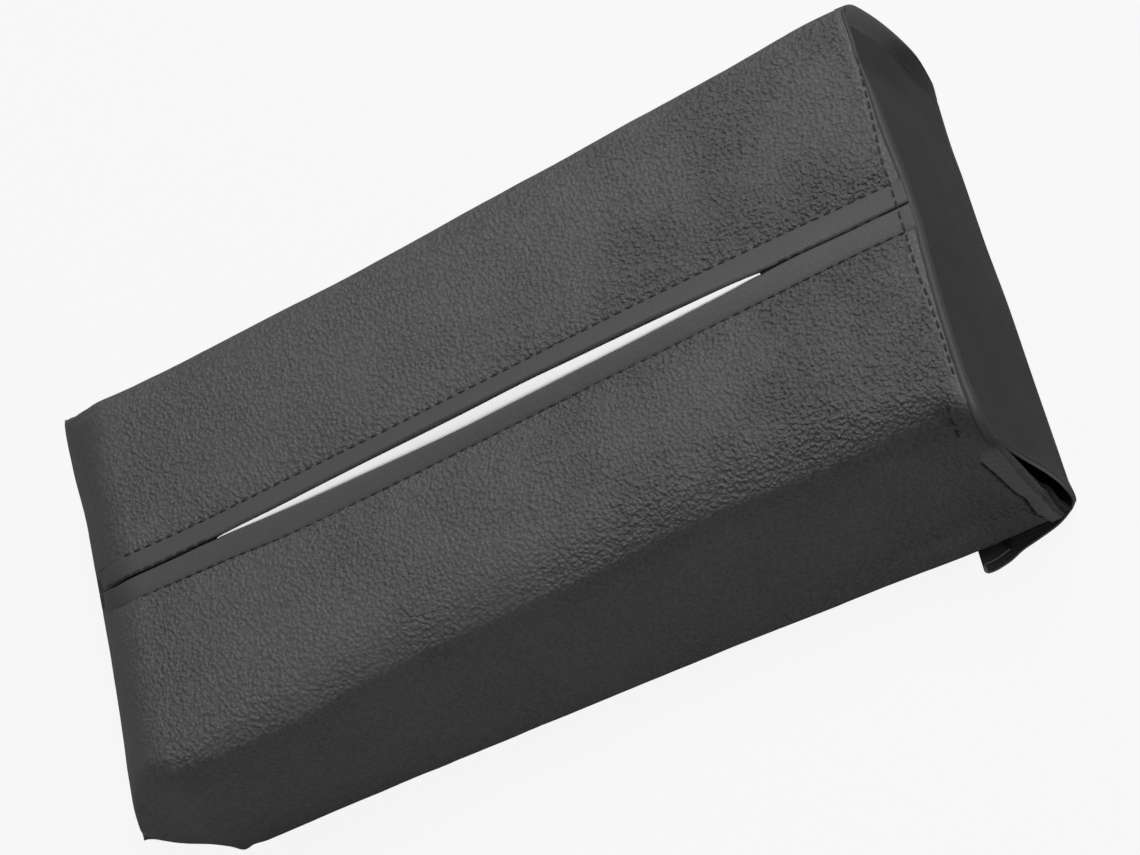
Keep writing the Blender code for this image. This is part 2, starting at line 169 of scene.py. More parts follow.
def smooth_line(places, values):
    places, values = np.array(places, float), np.array(values, float)
    run = np.diff(places)
    slope = np.diff(values) / run
    lean = np.zeros(len(places))
    for i in range(1, len(places) - 1):
        if slope[i - 1] * slope[i] > 0:
            lean[i] = 2 * slope[i - 1] * slope[i] / (slope[i - 1] + slope[i])
    lean[0], lean[-1] = slope[0], slope[-1]

    def value(place):
        place = np.clip(np.asarray(place, float), places[0], places[-1])
        i = np.clip(np.searchsorted(places, place) - 1, 0, len(run) - 1)
        h = (place - places[i]) / run[i]
        start = (1 + 2 * h) * (1 - h) ** 2 * values[i] + h * (1 - h) ** 2 * run[i] * lean[i]
        end = h * h * (3 - 2 * h) * values[i + 1] + h * h * (h - 1) * run[i] * lean[i + 1]
        return start + end

    return value


def stretch(value, start, length):
    """How much of a stretch lies behind the value, from 0 to 1."""
    return np.clip((value - start) / length, 0, 1)


def ease(share):
    share = np.clip(share, 0.0, 1.0)
    return share * share * (3 - 2 * share)


def hump(place, middle, width):
    return np.exp(-((np.asarray(place, float) - middle) / width) ** 2)


print("half way from 0 to 10:", round(float(smooth_line([0, 5, 10], [0, 5, 20])(7.5)), 2))

# %% [markdown]
# The left end is sewn shut half way up, so the lid slopes down to that seam and the base slopes up to
# it. The lid's folds and the line of the slit run a little askew. At the mouth the hem holds the lid
# wide, and the fold in front of it is drawn in.

# %% Heights, folds and the middle line
SEAM, MOUTH = -121.0, 114.1
SEAM_UP, LID_UP, BASE_UP = 29.0, 52.4, 1.5
HALF_SEAM = 0.25
LID_RUN, BASE_RUN = 23.0, 13.5
CREASE_TO_FOLD = 0.563
front_foot = smooth_line([-121, -117, -112, -107, -100, -91, -62, -20, 60, 94, 114.1],
                         [-62.9, -62.8, -62.0, -62.4, -63.3, -63.1, -62.5, -61.9, -61.5, -61.9, -61.4])
BACK_FOOT = 61.0


def lid_height(s):
    share = stretch(s, SEAM, LID_RUN)
    rise = 0.55 * np.sin(share * pi / 2) + 0.45 * (1 - (1 - share) ** 2)
    return SEAM_UP + HALF_SEAM + (LID_UP - SEAM_UP - HALF_SEAM) * rise


def base_height(s):
    share = stretch(s, SEAM, BASE_RUN)
    fall = 0.55 * share + 0.45 * np.sin(share * pi / 2)
    return SEAM_UP - HALF_SEAM - (SEAM_UP - HALF_SEAM - BASE_UP) * fall


fold_drop = smooth_line([-121, -118, -114, -108, -103, -98, -90, -80, -60, -20, 60, 90, 104, 114.1],
                        [0.6, 4.2, 7.2, 7.6, 5.0, 1.6, 2.6, 3.8, 5.2, 5.6, 5.6, 5.0, 4.8, 5.8])
crease_line = smooth_line([-121, -118, -114, -108, -103, -98, -90, -80, -65, -50, -35, -20, 8, 32,
                           52, 74, 92, 104, 109, 114.1],
                          [-60.5, -62.6, -64.3, -64.5, -63.0, -60.6, -61.2, -61.0, -60.3, -57.8, -56.7,
                           -55.5, -54.6, -52.0, -51.4, -51.7, -50.9, -51.0, -54.0, -61.0])
back_fold = smooth_line([-121, -116, -110, -104, -98, -60, -20, 20, 60, 90, 105, 114.1],
                        [59.2, 54.3, 49.4, 46.9, 46.3, 48.5, 51.7, 55.8, 59.6, 62.7, 64.2, 64.4])
middle = smooth_line([-121, -116, -110, -104, -98, -79, -60, -42, -20, 40, 70, 95, 114.1],
                     [6.7, 2.1, -2.2, -4.9, -5.5, -5.2, -4.8, -4.0, -2.7, 1.3, 3.0, 4.2, 4.9])
band_reach = smooth_line([-121, -90, -79, -50, 40, 81, 100, 114.1],
                         [6.1, 6.1, 6.2, 7.1, 7.25, 6.85, 6.5, 6.6])
print("lid half way down its slope:", round(float(lid_height(-110.0)), 1), "mm up")

# %% [markdown]
# The mouth isn't a flat plane either. The lid's edge bows out at its middle, the front wall's edge leans
# out towards the floor, and the back wall's edge bulges. The sewn edge at the left end bows in a little.

# %% The line of the mouth
lid_edge = smooth_line([-60, -50, -38, -26, -10, 6, 22, 35, 47, 57, 63],
                       [114.6, 114.2, 113.9, 114.1, 114.4, 114.3, 113.9, 113.4, 113.1, 113.0, 113.1])
front_edge = smooth_line([0, 21.7, 40, 47.6, 52.4], [117.8, 116.7, 115.4, 114.9, 114.6])
back_edge = smooth_line([0, 7, 17.5, 28, 38, 46, 50, 52.4],
                        [118.8, 120.2, 120.7, 119.7, 118.0, 115.9, 114.4, 113.1])
seam_bow = smooth_line([-62, -58, -52, -44, -30, 0, 25, 45, 55, 58, 61],
                       [0.2, -0.5, -1.1, -1.0, -0.5, -0.2, -0.4, -1.8, -2.0, -1.9, -1.2])
MOUTH_FROM = 84.0
SEAM_PULL = 18.0


def at_mouth(s):
    return ease((s - MOUTH_FROM) / (MOUTH - MOUTH_FROM))


def past_seam(s, reach=SEAM_PULL):
    """From 0 at the left seam to 1 where its pull has died away."""
    return ease((s - SEAM) / reach)


print("lid edge at its middle:", round(float(lid_edge(0.0)), 1), "mm")

# %% [markdown]
# ## One half of the case
# Each half is a single piece of leatherette: from its band beside the slit over the lid, round the soft
# fold, down the wall and a little way under the base. The share t runs over that piece, s along the case.
# Each fold is a curve with its corner as a handle, so one number makes it crisp or soft.

# %% Corners of one half
LID_END, ROLL_END, FOLD_END, WALL_END, TURN_END = 0.34, 0.50, 0.60, 0.86, 0.94
back_reach = smooth_line([-121, -104, -98, -60, 0, 114.1], [2.0, 3.0, 4.0, 6.0, 7.0, 6.0])
roll_lean = smooth_line([-121, -114, -108, -103, -98, -80, 80, 92, 104, 114.1],
                        [0.9, 2.0, 2.2, 1.6, 0.8, 0.85, 0.85, 1.1, 1.3, 1.5])
ROLL_POWER = 2.5
LID_CROWN, FOOT_REACH = 0.9, 3.0


def mix(a, b, share):
    return a + (b - a) * share


def bend(a, corner, b, share):
    return (1 - share) ** 2 * a + 2 * share * (1 - share) * corner + share ** 2 * b


def half_corners(s, side):
    """The nine corners and handles of one half's section, as places in y and heights."""
    top, low = lid_height(s), base_height(s)
    height = top - low
    inner = middle(s) + side * band_reach(s)
    if side < 0:
        fold = crease_line(s) + CREASE_TO_FOLD * fold_drop(s)
        foot = front_foot(s) - hump(s, -106.7, 1.8)
        drop, lean = np.minimum(fold_drop(s), 0.3 * height), roll_lean(s)
        slant = np.hypot(1.0, lean)
        tight = np.minimum(np.minimum(1.8, 0.25 * height), 0.8 * drop * slant / lean)
        wall_reach = np.minimum(tight, 0.42 * height)
    else:
        fold = back_fold(s)
        foot = BACK_FOOT + 0.6 * hump(s, -107.5, 3.0) - 0.9 * hump(s, SEAM, 1.6)
        drop, lean, slant = 0.0 * s, 0.0 * s, 1.0
        tight = np.minimum(back_reach(s), 0.45 * np.abs(fold - inner))
        wall_reach = np.minimum(0.85 * tight, 0.42 * height)
    rim = top - drop
    roll_y, roll_z = fold - side * tight / slant, rim + tight * lean / slant
    roll_wide = np.where(lean > 0, ROLL_POWER * (top - roll_z) / np.maximum(lean, 0.1), 1.0)
    foot_reach = np.minimum(FOOT_REACH, 0.42 * height)
    length = np.hypot(fold - foot, rim - low)
    down_y, down_z = (foot - fold) / length, (low - rim) / length
    return ([inner, roll_y - side * roll_wide, roll_y, fold, fold + down_y * wall_reach,
             foot - down_y * foot_reach, foot, foot - side * 2.0, foot - side * 4.5],
            [top, top, roll_z, rim, rim + down_z * wall_reach, low - down_z * foot_reach, low, low, low])


print("corners of the front half at its middle:", np.round(half_corners(np.array(0.0), -1)[0], 1))

# %% [markdown]
# The outside of the half follows those corners. It is then shaped a little: the lid has a crown, the
# filled wall a belly, and the front wall a dent at its left and a crease low down at its right.

# %% Surface of one half
def along_corners(corners, parts, shares, roll_power=1.0):
    """Through the nine corners: lid, roll, fold, wall, lower fold and the edge turned under."""
    lid, roll, turn, wall, curl, under = shares
    runs = [mix(corners[0], corners[1], lid), mix(corners[1], corners[2], roll ** roll_power),
            bend(*corners[2:5], turn), mix(corners[4], corners[5], wall), bend(*corners[5:8], curl)]
    return np.select(parts, runs, mix(corners[7], corners[8], under))


def half_section(s, t, side):
    """Place in x, y and z of a point on the outside of one half; side is -1 in front and 1 at the back."""
    spots, rises = half_corners(s, side)
    ends = [0.0, LID_END, ROLL_END, FOLD_END, WALL_END, TURN_END, 1.0]
    shares = [stretch(t, a, b - a) for a, b in zip(ends, ends[1:])]
    parts = [t < end for end in ends[1:-1]]
    y = along_corners(spots, parts, shares)
    z = along_corners(rises, parts, shares, ROLL_POWER)
    full = past_seam(s)
    over = stretch(t, 0, ROLL_END if side < 0 else FOLD_END)
    z = z + full * (LID_CROWN * np.sin(pi * over) - 0.40 * hump(t, 0.0, 0.03) - 0.25 * hump(t, 0.0, 0.004))
    belly = np.sin(pi * stretch(t, 0.58, WALL_END + 0.04 - 0.58)) ** (1.6 if side < 0 else 1.0)
    y = y + side * full * (1.3 if side < 0 else 1.1) * belly * (1 - 0.6 * at_mouth(s))
    if side < 0:
        on_wall = t > FOLD_END
        y = y + 1.2 * hump(s, -93.0, 6.0) * hump(z, 44.5, 4.0) * on_wall
        right = ease((s - 62.0) / 34.0)
        y = y - right * (1.1 * hump(z, 9.3, 1.8) - 1.3 * hump(z, 13.8, 2.2)) * on_wall
    edge = np.where(side < 0, front_edge(z), back_edge(z))
    down = ease((t - 0.44) / 0.16)
    x = s + at_mouth(s) * mix(lid_edge(y) - MOUTH, edge - MOUTH, down) + seam_bow(y) * (1 - full)
    return x, y, z


spot = half_section(np.array(0.0), np.array(0.7), -1)
print("front wall half way along:", [round(float(v), 1) for v in spot])

# %% [markdown]
# Every sheet starts as Blender's own flat grid. Its points are then moved to their places, as a hand
# would lay a cut piece of leatherette over a block, and Solidify gives it its thickness, inwards. The
# inner side wears the second material, the cloth backing.

# %% Helpers for sheets
def only(piece):
    bpy.ops.object.select_all(action="DESELECT")
    piece.select_set(True)
    bpy.context.view_layer.objects.active = piece


def apply_all(piece):
    only(piece)
    for made in list(piece.modifiers):
        bpy.ops.object.modifier_apply(modifier=made.name)


def points_of(piece):
    flat = np.empty(len(piece.data.vertices) * 3)
    piece.data.vertices.foreach_get("co", flat)
    return flat.reshape(-1, 3)


def lay_sheet(name, along, across, place, turned_over=False):
    """A grid whose points go to place(s, t), with s and t from 0 to 1."""
    bpy.ops.object.select_all(action="DESELECT")
    bpy.ops.mesh.primitive_grid_add(x_subdivisions=along, y_subdivisions=across, size=1.0)
    piece = bpy.context.object
    piece.name = piece.data.name = name
    s, t, _ = points_of(piece).T + 0.5
    spots = np.column_stack([np.broadcast_to(v, len(s)) for v in place(s, t)]) * MM
    piece.data.vertices.foreach_set("co", spots.ravel())
    piece.data.update()
    if turned_over:
        only(piece)
        bpy.ops.object.mode_set(mode="EDIT")
        bpy.ops.mesh.select_all(action="SELECT")
        bpy.ops.mesh.flip_normals()
        bpy.ops.object.mode_set(mode="OBJECT")
    return piece


def thicken(piece, thickness, inner_slot, rim_slot):
    """Inwards, so that the sheet's own face stays the outside."""
    made = piece.modifiers.new("Thickness", "SOLIDIFY")
    made.thickness = thickness * MM
    made.offset = -1.0
    made.use_quality_normals = True
    made.material_offset = inner_slot
    made.material_offset_rim = rim_slot
    if "thickness" in piece.vertex_groups:
        made.vertex_group = "thickness"
    apply_all(piece)


def thin_at_seam(piece):
    """Near the left seam, where lid and base meet, the sheet is pressed thin."""
    group = piece.vertex_groups.new(name="thickness")
    for i, (x, y, z) in enumerate(points_of(piece) / MM):
        share = ease((x - PRESSED_FROM) / PRESSED_OVER)
        group.add([i], float(mix(PRESSED, 1.0, share)), "REPLACE")


print("ready to lay sheets")

# %% [markdown]
# A laid sheet is then dressed: it gets its materials and its body, stands in for its solids, and is
# thickened. Its faces are shaded smoothly, except across an edge sharper than the given angle.

# %% Helpers for a finished sheet
LEATHER, SOFT_LEATHER, LINING = 1.1, 0.55, 0.5
FLAP_THICK, TUCK_THICK, STRAP_THICK = 0.9, 0.85, 1.05
PRESSED, PRESSED_FROM, PRESSED_OVER = 0.2, -121.4, 2.6
SOFT_FOLD, SOFT_CURVE = 60.0, 40.0


def smooth(piece, angle=SOFT_FOLD):
    """Shades smoothly across every edge that turns by less than the angle."""
    only(piece)
    bpy.ops.object.shade_smooth_by_angle(angle=radians(angle))


def dress(piece, body, slot, finishes, *nodes):
    """Puts a piece on its body, with its materials, in place of its solids. A flap is given no body here."""
    for finish in finishes:
        piece.data.materials.append(finish)
    if body:
        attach(piece, body)
    if nodes:
        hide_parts(*nodes)
    print(piece.name, len(piece.data.vertices), "points, on", body or "two bodies")


def finish_sheet(piece, thickness, body, slot, finishes, *nodes, pressed=False, angle=SOFT_FOLD):
    """With two finishes the inner side wears the second, and with three the cut edge wears the third."""
    dress(piece, body, slot, finishes, *nodes)
    if pressed:
        thin_at_seam(piece)
    thicken(piece, thickness, min(len(finishes) - 1, 1), 2 if len(finishes) == 3 else 0)
    smooth(piece, angle)
    return piece


def paint_grain(piece, depths):
    """A depth of grain for each point, which the leatherette reads by its name."""
    made = piece.data.attributes.new("grain", "FLOAT", "POINT")
    made.data.foreach_set("value", np.asarray(depths, np.float32))


print("thickness of the leatherette:", LEATHER, "mm")

# %% [markdown]
# ## Leatherette
# Its grain is a skin of small pebbles with creases between them. A Voronoi texture gives the pebbles,
# and noise bends their borders, or they would look like tiles. The grain is deepest on the lid near the
# mouth, and pulled almost flat on the rolled left end, so each point carries a number for its depth.

# %% Pebbled grain
PEBBLE = 1.1


def two_tones(tree, share, dark, light, places=(0.0, 1.0)):
    made = add_node(tree, "ValToRGB", {"Fac": share})
    for step, place, colour in zip(made.color_ramp.elements, places, (dark, light)):
        step.position, step.color = place, (*colour, 1.0)
    return made.outputs["Color"]


def pebble_height(tree, spot):
    """Domes with creases between them, with fine noise on top."""
    wander = noise(tree, spot, 650.0, 3.0, "Color")
    centred = add_node(tree, "VectorMath", {0: wander, 1: (0.5, 0.5, 0.5)}, operation="SUBTRACT")
    shift = add_node(tree, "VectorMath", {0: centred.outputs[0], "Scale": 0.0008}, operation="SCALE")
    bent = add_node(tree, "VectorMath", {0: spot, 1: shift.outputs[0]}, operation="ADD")
    pebbles = add_node(tree, "TexVoronoi", {"Vector": bent.outputs[0], "Scale": 1000.0 / PEBBLE,
                                            "Smoothness": 0.22}, feature="SMOOTH_F1")
    dome = add_node(tree, "MapRange", {"Value": pebbles.outputs["Distance"], "From Min": 0.70,
                                       "From Max": 0.05, "To Max": 0.6})
    return maths(tree, "MULTIPLY_ADD", noise(tree, spot, 1000.0, 2.5), 1.3, dome.outputs["Result"])


print("size of a pebble:", PEBBLE, "mm")

# %% [markdown]
# Every leatherette piece wears that grain, with its own grey and its own depth. Its colour has painted shade
# in it: the creases between the pebbles are painted darker and the pebble tops lighter. Broad noise makes it
# duller and shinier in patches, and a little lighter and darker at random.

# %% Leatherette finishes
def grain_strength(tree, spot):
    """The depth painted on the points, a little deeper and shallower in patches."""
    grain = add_node(tree, "Attribute", attribute_name="grain")
    patchy = add_node(tree, "MapRange", {"Value": noise(tree, spot, 45.0), "From Min": 0.35,
                                         "From Max": 0.60, "To Min": 0.7, "To Max": 1.15})
    return maths(tree, "MULTIPLY", grain.outputs["Fac"], patchy.outputs["Result"])


def leather_finish(name, grey, roughness, depth=0.08, crease_shade_and_mottle=0.12):
    """A depth of None takes the depth that is painted on the points."""
    made, tree, shader = node_material(name)
    spot = add_node(tree, "TexCoord").outputs["Object"]
    height = pebble_height(tree, spot)
    strength = grain_strength(tree, spot) if depth is None else depth
    bump = add_node(tree, "Bump", {"Distance": 0.00105, "Strength": strength, "Height": height})
    broad = noise(tree, spot, 60.0, 5.0)
    faint = maths(tree, "MULTIPLY", broad, 0.25, use_clamp=True)
    # Painted shade: the pebble height darkens the creases and lightens the pebble tops; the broad noise adds
    # a random tone.
    share = maths(tree, "MULTIPLY_ADD", height, crease_shade_and_mottle, faint)
    colour = np.array([grey, grey, grey + 0.002])
    tint = two_tones(tree, share, colour * (1 - 0.4 * crease_shade_and_mottle), colour * (1 + 0.4 * crease_shade_and_mottle), (0.3, 0.75))
    rough = add_node(tree, "MapRange", {"Value": broad, "To Min": roughness - 0.06,
                                        "To Max": roughness + 0.10})
    fill_inputs(tree, shader, {"Base Color": tint, "Roughness": rough.outputs["Result"],
                               "Normal": bump.outputs["Normal"], "Specular IOR Level": 0.22})
    return made


grained = leather_finish("grained_leatherette", 0.092, 0.52, None, crease_shade_and_mottle=0.5)
plain = leather_finish("smooth_leatherette", 0.084, 0.54)
# Painted shade: this is the smooth leatherette painted much darker, for the end flap, the tuck flap and the
# front lip.
shaded_plain = leather_finish("flap_leatherette_painted_shade", 0.034, 0.60)
# The cut edge is a light grey: partly the leatherette's own raw edge, and partly a painted highlight where
# its thickness catches the light.
cut_edge_and_highlight = leather_finish("cut_edge_and_highlight", 0.200, 0.60, 0.1)
strip_finish = leather_finish("hem_strip", 0.135, 0.56)
hem_finish = leather_finish("hem_leatherette", 0.054, 0.54)
print("finishes:", grained.name, plain.name, shaded_plain.name, cut_edge_and_highlight.name)

# %% [markdown]
# The rest are simpler. Backing cloth, thread, elastic and the touch fastener are two crossing waves with
# a fine noise, each at its own size. The elastic's waves follow its UV map, so its ribs run across it.

# %% Cloth, thread, elastic and board
def cloth_finish(name, colour, roughness, scale, depth, place="Object", sheen=0.0):
    made, tree, shader = node_material(name)
    spots = add_node(tree, "TexCoord").outputs
    warp = add_node(tree, "TexWave", {"Vector": spots[place], "Scale": scale}, bands_direction="X")
    weft = add_node(tree, "TexWave", {"Vector": spots[place], "Scale": scale * 0.8}, bands_direction="Y")
    weave = maths(tree, "MAXIMUM", warp.outputs["Fac"], weft.outputs["Fac"])
    height = maths(tree, "MULTIPLY_ADD", noise(tree, spots["Object"], 900.0, 3.0), 0.5, weave)
    bump = add_node(tree, "Bump", {"Distance": 0.0002, "Strength": depth, "Height": height})
    tint = two_tones(tree, height, np.array(colour) * 0.6, np.array(colour) * 1.25)
    fill_inputs(tree, shader, {"Base Color": tint, "Normal": bump.outputs["Normal"],
                               "Roughness": roughness, "Sheen Weight": sheen})
    return made


backing = cloth_finish("backing_cloth", (0.035, 0.035, 0.037), 0.9, 320.0, 0.5)
thread = cloth_finish("black_thread", (0.020, 0.020, 0.021), 0.7, 700.0, 0.6)
elastic = cloth_finish("ribbed_elastic", (0.030, 0.030, 0.032), 0.75, 260.0, 0.9, place="UV", sheen=0.2)
fastener = cloth_finish("touch_fastener", (0.016, 0.016, 0.017), 0.95, 520.0, 1.0, sheen=0.4)
board = cloth_finish("grey_board", (0.33, 0.31, 0.28), 0.85, 90.0, 0.15)
print("cloths:", backing.name, elastic.name, fastener.name, board.name)

# %% [markdown]
# The tissue is soft paper with a pressed pattern of dots. Its two whites are close together, because
# paper this thin shows its form by its shadows and not by its colour.

# %% Tissue paper
def paper_finish(name):
    made, tree, shader = node_material(name)
    spot = add_node(tree, "TexCoord").outputs["Object"]
    soft = noise(tree, spot, 180.0, 6.0)
    dots = add_node(tree, "TexVoronoi", {"Vector": spot, "Scale": 520.0}).outputs["Distance"]
    both = maths(tree, "MULTIPLY_ADD", dots, 0.25, soft)
    bump = add_node(tree, "Bump", {"Distance": 0.0003, "Strength": 0.5, "Height": both})
    tint = two_tones(tree, soft, (0.84, 0.84, 0.83), (0.93, 0.93, 0.92))
    fill_inputs(tree, shader, {"Base Color": tint, "Normal": bump.outputs["Normal"],
                               "Roughness": 0.95})
    return made


paper = paper_finish("tissue_paper")
print("paper:", paper.name)

# %% [markdown]
# ## Front and back halves
# The grid's even lines are spread unevenly, so that more of them fall where the form turns, at the slope
# and the fold. Two broad Clouds textures then
# push the sheet in and out by a fraction of a millimetre, as a hand-sewn case has it.

# %% Front and back halves
S_PLACES = [SEAM, -96.0, MOUTH_FROM, MOUTH]
S_SHARES = [0.0, 0.26, 0.78, 1.0]
T_PLACES = [0.0, 0.03, LID_END, ROLL_END, FOLD_END, WALL_END, TURN_END, 1.0]
T_SHARES = [0.0, 0.06, 0.32, 0.49, 0.61, 0.84, 0.95, 1.0]


def undulate(piece, size, strength):
    clouds = bpy.data.textures.new(piece.name, "CLOUDS")
    clouds.noise_scale = size * MM
    clouds.noise_depth = 2
    made = piece.modifiers.new("Waves", "DISPLACE")
    made.texture = clouds
    made.texture_coords = "LOCAL"
    made.strength = strength * MM
    made.mid_level = 0.5
    apply_all(piece)


def grain_depth(places):
    x, y, z = places.T
    lid = 0.62 + 0.38 * ease((x + 40) / 150) - 0.18 * ease((y - 10) / 50)
    rolled = 1 - 0.85 * ease((-94 - x) / 18)
    wall = mix(1.0, 0.62, ease((46 - z) / 8))
    hem = 1 - 0.75 * ease((x - 110.5) / 2.0) * ease((z - 49) / 2.0)
    return lid * rolled * wall * hem


def make_half(name, side, *nodes):
    def place(s, t):
        return half_section(np.interp(s, S_SHARES, S_PLACES), np.interp(t, T_SHARES, T_PLACES), side)

    piece = lay_sheet(name, 230, 96, place, turned_over=side < 0)
    undulate(piece, 26.0, 0.5)
    undulate(piece, 7.0, 0.16)
    paint_grain(piece, grain_depth(points_of(piece) / MM))
    return finish_sheet(piece, LEATHER, "case", "leather", [grained, backing], *nodes, pressed=True)


front_half = make_half("front_half", -1, "front_panel")
back_half = make_half("back_half", 1, "back_panel")

# %% [markdown]
# ## Bands along the slit
# Each band is a strip folded double, with its soft folded edge at the slit. The tissues push that edge
# up a little. Past both ends of the slit the two folds are sewn together.

# %% Slit bands
SLIT_MIDDLE, SLIT_HALF_LENGTH = 1.2, 79.0
slit_half = smooth_line([-121, -113, -102, -80, -74, -66, -60, -48, -36, -24, -6, 12, 24, 36, 48, 60,
                         66, 74, 82, 114.1],
                        [0.02, 0.06, 0.22, 0.2, 0.42, 0.8, 1.0, 1.4, 1.7, 1.95, 2.2, 2.2, 2.0, 1.85,
                         1.6, 1.3, 1.1, 0.6, 0.1, 0.1])
slit_shift = smooth_line([-121, -60, -24, 0, 24, 48, 70, 90, 114.1],
                         [0, 0.1, -0.05, -0.3, -0.35, -0.42, -0.5, -0.2, 0])


def lid_x(s, y):
    """Near the mouth, the lid's places move out with its bowed edge."""
    return s + at_mouth(s) * (lid_edge(y) - MOUTH)


def make_band(name, side, *nodes):
    def place(s, t):
        s = mix(SEAM, MOUTH, s)
        inner, outer = slit_half(s) + side * slit_shift(s), band_reach(s) + 0.25
        full = past_seam(s, 12.0)
        roll = mix(0.28, 0.75, full)
        angle = stretch(t, 0.55, 0.25) * pi
        flat = stretch(t, 0, 0.55)
        back = stretch(t, 0.80, 0.20)
        reach = np.where(t < 0.55, mix(outer, inner + roll, flat), inner + roll - roll * np.sin(angle))
        reach = np.where(t > 0.80, mix(inner + roll, inner + 4.0, back), reach)
        rise = np.where(t < 0.55, 0.0, -roll * (1 - np.cos(angle)))
        share = stretch(outer - reach, 0, outer - inner)
        lift = 0.35 + 1.3 * np.clip(1 - (np.abs(s - SLIT_MIDDLE) / (SLIT_HALF_LENGTH + 14)) ** 3, 0, 1)
        pressed_edge = 0.20 * hump(outer - reach, 0.0, 0.4)
        up = full * (lift * share ** 1.25 + 0.25 * np.sin(pi * share) - pressed_edge)
        y = middle(s) + side * reach
        z = lid_height(s) - 0.25 * full + rise + up
        return lid_x(s, y) + seam_bow(y) * (1 - past_seam(s)), y, z

    piece = lay_sheet(name, 200, 26, place, turned_over=side > 0)
    undulate(piece, 14.0, 0.22)
    return finish_sheet(piece, SOFT_LEATHER, "case", "smooth", [plain, backing], *nodes, pressed=True)


front_band = make_band("front_band", -1, "slit_band_front")
back_band = make_band("back_band", 1, "slit_band_back")

# %% [markdown]
# ## Stitches
# A row of stitches is a row of short dashes. Each is a piece of thread that comes up through the
# leatherette, lies on it and dives again. One curve object holds the whole row, one little line for each
# stitch, and it is made a mesh at the end.

# %% Rows of stitches
STITCH = 3.1


def empty_curve(name, radius, resolution):
    bpy.ops.object.select_all(action="DESELECT")
    bpy.ops.curve.primitive_nurbs_path_add()
    made = bpy.context.object
    made.name = made.data.name = name
    made.data.splines.clear()
    made.data.dimensions = "3D"
    made.data.bevel_depth = radius * MM
    made.data.bevel_resolution = resolution
    made.data.use_fill_caps = True
    return made


def curve_to_mesh(curve):
    only(curve)
    bpy.ops.object.convert(target="MESH")
    return bpy.context.object


def sew(name, path, radius, up, *nodes, pitch=STITCH, gap=0.40, sink=0.35):
    """path is a list of points in millimetres; up gives the outward direction at each."""
    path, up = np.array(path, float), np.array(up, float)
    lengths = np.concatenate([[0], np.cumsum(np.linalg.norm(np.diff(path, axis=0), axis=1))])
    row = empty_curve(name, radius, 1)
    for i in range(int(lengths[-1] / pitch)):
        start = i * pitch + pitch * gap / 2
        end = (i + 1) * pitch - pitch * gap / 2
        line = row.data.splines.new("POLY")
        line.points.add(6)
        for point, share in zip(line.points, np.linspace(0, 1, 7)):
            there = mix(start, end, share)
            spot, out = (np.array([np.interp(there, lengths, v[:, j]) for j in range(3)])
                         for v in (path, up))
            out /= np.linalg.norm(out)
            dive = sink * abs(2 * share - 1) ** 4
            point.co = (*((spot + out * (radius * 0.55 - dive)) * MM), 1.0)
    row = curve_to_mesh(row)
    dress(row, "case", "thread", [thread], *nodes)
    smooth(row)


print("from one stitch to the next:", STITCH, "mm")

# %% [markdown]
# A stitch has to lie on the leatherette as it really is, with its waves. So each point of a row is
# dropped on to the finished sheets, which gives the place where it lands and the direction out of it.

# %% Points laid on finished sheets
def land(pieces, spots, toward):
    """Moves each spot, in millimetres, along a direction until it meets one of the pieces."""
    toward = Vector(toward)
    places, outs = [], []
    for spot in spots:
        rays = [piece.ray_cast(Vector(spot) * MM, toward) for piece in pieces]
        met = [(place, out) for hit, place, out, _ in rays if hit]
        if met:
            place, out = min(met, key=lambda pair: pair[0].dot(toward))
            places.append(np.array(place) / MM)
            outs.append(np.array(out if out.dot(toward) < 0 else -out))
    return places, outs


LID_PIECES = [front_half, back_half, front_band, back_band]


def sew_lid(name, line, radius, *nodes, **dashes):
    """A row over the lid through a list of places in x and y."""
    places, outs = land(LID_PIECES, [(x, y, 80.0) for x, y in line], (0, 0, -1))
    sew(name, places, radius, outs, *nodes, **dashes)


def along_slit(start, end, offset):
    places = []
    for s in np.linspace(start, end, 260):
        y = float(middle(s) + offset(s))
        places.append((float(lid_x(s, y)), y))
    return places


def beside_band(side):
    return lambda s: side * (band_reach(s) + 0.15)


sew_lid("front_row", along_slit(-98.5, 112.6, beside_band(-1)), 0.21, "slit_stitch_front")
sew_lid("back_row", along_slit(-101.5, 112.6, beside_band(1)), 0.33, "slit_stitch_back", gap=0.5)
sew_lid("closed_seam_left", along_slit(-110.0, -77.0, lambda s: 0.60), 0.36, "seam_stitch_left",
        pitch=3.2, sink=0.1)
sew_lid("closed_seam_right", along_slit(80.0, 112.6, lambda s: 0.10), 0.36, "seam_stitch_right",
        pitch=3.4, sink=0.1)

# %% [markdown]
# The lid's edge at the mouth is turned over and stitched, which makes a firm roll. A row of stitches
# runs just inside it, and a second short row goes down over the front corner.

# %% Hem roll and its stitches
ridge = smooth_line([-60, -49, -43, -33, -19, -7, 0, 12, 23, 35, 41, 47, 53, 62],
                    [116.0, 115.5, 115.1, 115.0, 115.2, 115.5, 115.7, 115.6, 115.1, 114.6, 114.0,
                     113.6, 113.7, 113.4])
hem_row = smooth_line([-51, -41, -34, -21, -14, -4, 8.5, 17, 26.5, 36.6, 47.4, 62],
                      [112.1, 112.4, 112.4, 112.0, 111.5, 111.3, 111.4, 111.2, 111.9, 112.6, 113.1, 112.6])


def hem_radius(y):
    return np.clip(0.5 * (ridge(y) - hem_row(y)) - 0.05, 0.55, 1.35)


def hem_path():
    path = []
    for side, shares in ((1, np.linspace(0.57, 0.0, 70)), (-1, np.linspace(0.0, 0.59, 80))):
        for t in shares:
            x, y, z = (float(v) for v in half_section(np.array(MOUTH), np.array(t), side))
            small = float(hem_radius(y))
            path.append((float(ridge(y)) - small, y - side * 0.9 * ease((t - 0.50) / 0.08), z - small + 0.2))
    return path


